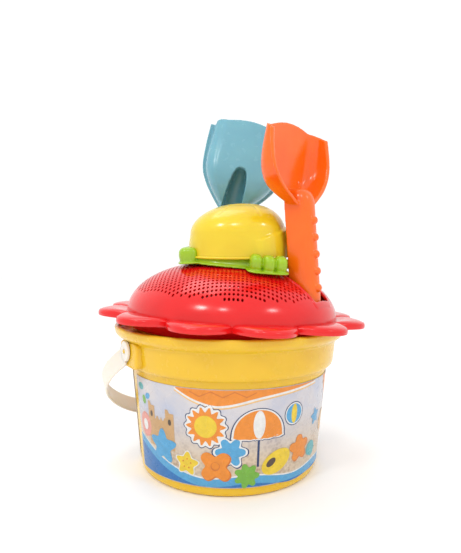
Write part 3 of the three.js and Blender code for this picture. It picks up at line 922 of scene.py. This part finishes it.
def closed_crown(outer, inner):
    """The outer and inner skins, each capped at its crown and joined round the rim."""
    count = len(outer[0])
    skins, faces = loft(outer, capped=False)
    inner_points, inner_faces = loft(inner, capped=False)
    first = len(skins)
    faces += [tuple(first + i for i in face) for face in inner_faces]
    faces.append(tuple(range(first - count, first)))
    faces.append(tuple(range(first, first + count)))
    last = first + len(inner_points) - count
    faces += [(i, (i + 1) % count, last + (i + 1) % count, last + i) for i in range(count)]
    return skins + inner_points, faces


def make_turtle_shell():
    flange = [(-1.8, -0.6), (0.8, -0.6), (1.7, -0.1), (1.9, 0.6), (1.5, 1.3), (0.3, 1.6)]
    rim = [shell_ring(SHELL["length"] + out, SHELL["width"] + out, height) for out, height in flange]
    outer = shell_surface(0)
    inner = list(reversed(shell_surface(WALL)))
    obj = mesh_object("turtle_shell_dome", closed_crown(rim + outer[1:], inner), SHELL_PLACE)
    piece(obj, "turtle_shell", "turtle_shell", SHELL_YELLOW, 60)


# ---- Shovels ----------------------------------------------------------------------------------------

ORANGE_STYLE = {
    "length": 57,
    "half_width": [(0, 10), (6, 19), (13, 28), (24, 36), (37, 39), (60, 37)],
    "depth": [(0, 9), (8, 15), (19, 20), (37, 18), (60, 9)],
    "edge_arc": 10,
    "ear": 2.6,
    "handle": 124,
    "nose": 14,
    "nose_power": 0.5,
    "flange": 3.4,
    "bumps": 5,
}
BLUE_STYLE = {
    **ORANGE_STYLE,
    "length": 78,
    "half_width": [(0, 10), (8, 18), (20, 28), (34, 35), (56, 37), (78, 37)],
    "depth": [(0, 9), (10, 16), (26, 21), (46, 18), (78, 8)],
    "nose": 42,
    "nose_power": 0.6,
    "handle": 130,
    "flange": 5.0,
    "bumps": 0,
}
CORNER_ROUND = 5.0  # how far the blade's top corners are rounded off
FLOOR_SHARE = 0.66  # the flat floor's share of the blade's width
HANDLE = {"half_width": 11, "depth": 20, "back": 13}
CHANNEL_CLEAR = 30  # how far the channel's cutter reaches behind the handle
GRIP_BUMP = {"half_size": (3.7, 3.1, 3.4), "first": 13, "pitch": 13.4}


def blade_section(station, style):
    """The blade's section at one station: a flange, a wall, the floor, and the same mirrored."""
    half_width = smooth_between(style["half_width"], station)
    depth = smooth_between(style["depth"], station)
    floor_half = half_width * FLOOR_SHARE
    share = station / style["length"]
    flange = style["flange"] * (0.35 + 0.65 * share)
    right = [(half_width + flange, 0.9), (half_width + flange * 0.5, 0.3), (half_width, 0.4)]
    for angle in steps(4, 90, 18):
        turned = math.radians(angle)
        right.append((
            floor_half + (half_width - floor_half) * math.cos(turned),
            depth * 0.3 + depth * 0.7 * math.sin(turned),
        ))
    right += [(floor_half * part, depth) for part in (0.8, 0.6, 0.4, 0.2)]
    left = [(-x, y) for x, y in reversed(right)]
    rise = smooth_between([(0.6, 0), (1, 1)], share)
    ring = []
    for x, y in [*right, (0, depth), *left]:
        across = abs(x) / half_width
        corner = max(1 - y / CORNER_ROUND, 0) ** 2
        hump = rise * (style["ear"] * bump_at(across, 0.93, 0.17) - 0.6 * CORNER_ROUND * corner)
        arc = style["edge_arc"] * rise * max(1 - across**2, 0)
        ring.append(Vector((x, y, station + arc + hump)))
    return ring


def blade(style):
    """The blade as a curved sheet, which is given its wall thickness later."""
    sections = [blade_section(station, style) for station in steps(0, style["length"], 34)]
    return loft(sections, closed=False, capped=False)


def handle_ring(z, scale, inset):
    back = HANDLE["back"] + CHANNEL_CLEAR
    half_width = (HANDLE["half_width"] - inset) * scale
    ridge = (HANDLE["depth"] - inset) * scale
    ring = []
    for angle in steps(0, 180, 24):
        across = signed_power(math.cos(math.radians(angle)), 0.8)
        up = max(math.sin(math.radians(angle)), 0) ** 0.8
        ring.append(Vector((half_width * across, HANDLE["back"] - ridge * up, z)))
    if inset:
        ring += [Vector((-half_width, back, z)), Vector((half_width, back, z))]
    return ring


def handle(inset, style):
    """The handle's solid, or with an inset the channel that hollows it from the back."""
    bottom = inset - style["handle"]
    top = style["nose"] - inset
    stations = [(bottom, 0.93), (bottom + 3, 0.98), (bottom + 6, 1)]
    stations += [(z, 1) for z in steps(bottom * 0.8, bottom * 0.1, 10)]
    for angle in steps(0, 85, 12):
        turned = math.radians(angle)
        stations.append((top * math.sin(turned), math.cos(turned) ** style["nose_power"]))
    return loft([handle_ring(z, scale, inset) for z, scale in stations])


def grip_bumps(style):
    """Round studs along the handle's ridge."""
    ridge = HANDLE["back"] - HANDLE["depth"]
    bumps = []
    for i in range(style["bumps"]):
        centre = (0, ridge + 0.2, -GRIP_BUMP["first"] - GRIP_BUMP["pitch"] * i)
        bumps.append(rounded_block(GRIP_BUMP["half_size"], centre, 2.2, 12))
    return bumps


def make_shovel(name, style, place, material):
    obj = mesh_object(name + "_moulding", blade(style), place)
    modified(obj, ("SOLIDIFY", {"thickness": WALL * MM, "offset": -1}))
    solid = mesh_object("solid", joined([handle(0, style), *grip_bumps(style)]), place)
    both = bmesh.new()
    both.from_mesh(obj.data)
    both.from_mesh(solid.data)
    both.to_mesh(obj.data)
    both.free()
    bpy.data.objects.remove(solid)
    cut(obj, handle(WALL, style), place)
    soft_union(obj, 0.7, 4)
    piece(obj, name, name, material, 60)


# ---- Floor, lights and camera ---------------------------------------------------------------------------

FLOOR_HALF = 4000
STUDIO_WHITE = 1.05  # strength of the light from all round
CAMERA = {
    "place": (0, -0.4287, 0.1770),
    "pitch": 2.02,
    "roll": 0.4,
    "sensor": 36,
    "lens": 31.5277,
    "shift": 0.001447,
}


def make_floor():
    corners = [(x * FLOOR_HALF, y * FLOOR_HALF, 0) for x, y in ((-1, -1), (1, -1), (1, 1), (-1, 1))]
    floor = mesh_object("floor", (corners, [(0, 1, 2, 3)]))
    floor.data.materials.append(floor_paint("floor_paint"))


def add_light(name, place, aim, size, power, colour=(1, 1, 1)):
    light = bpy.data.lights.new(name, "AREA")
    light.shape = "RECTANGLE"
    light.size, light.size_y = size
    light.energy = power
    light.color = colour
    obj = bpy.data.objects.new(name, light)
    obj.location = place
    obj.rotation_euler = (Vector(aim) - Vector(place)).to_track_quat("-Z", "Y").to_euler()
    bpy.context.collection.objects.link(obj)


def make_lights():
    world = bpy.data.worlds.new("studio")
    world.use_nodes = True
    background = world.node_tree.nodes["Background"]
    background.inputs["Color"].default_value = (1, 1, 1, 1)
    background.inputs["Strength"].default_value = STUDIO_WHITE
    bpy.context.scene.world = world
    middle = (0, 0, 0.15)
    add_light("key", (-0.55, -0.75, 1.0), middle, (0.16, 0.16), 2.6, (1, 0.98, 0.94))
    add_light("left_spot", (-0.15, -1.0, 1.1), middle, (0.1, 0.1), 1.3)
    add_light("right_spot", (0.75, -0.6, 0.9), middle, (0.12, 0.12), 1.2)
    add_light("top", (-0.3, 0.2, 1.3), middle, (0.6, 0.6), 2.4)
    bpy.context.scene.view_settings.view_transform = "Standard"


def make_camera():
    """A camera in front at about the turtle's height, tipped slightly down and slightly rolled."""
    data = bpy.data.cameras.new("camera")
    data.sensor_width = CAMERA["sensor"]
    data.lens = CAMERA["lens"]
    data.shift_x = CAMERA["shift"]
    camera = bpy.data.objects.new("camera", data)
    pitch, roll = math.radians(CAMERA["pitch"]), math.radians(CAMERA["roll"])
    forward = Vector((0, math.cos(pitch), -math.sin(pitch)))
    right = Vector((1, 0, 0))
    up = right.cross(forward)
    across = math.cos(roll) * right + math.sin(roll) * up
    above = -math.sin(roll) * right + math.cos(roll) * up
    turned = Matrix((across, above, -forward)).transposed().to_4x4()
    camera.matrix_world = Matrix.Translation(CAMERA["place"]) @ turned
    bpy.context.collection.objects.link(camera)
    bpy.context.scene.camera = camera


make_bucket()
make_label()
make_bail()
make_lid()
make_turtle_body()
make_turtle_shell()
make_shovel("orange_shovel", ORANGE_STYLE, ORANGE_PLACE, ORANGE)
make_shovel("blue_shovel", BLUE_STYLE, BLUE_PLACE, BLUE)
make_floor()
make_lights()
make_camera()
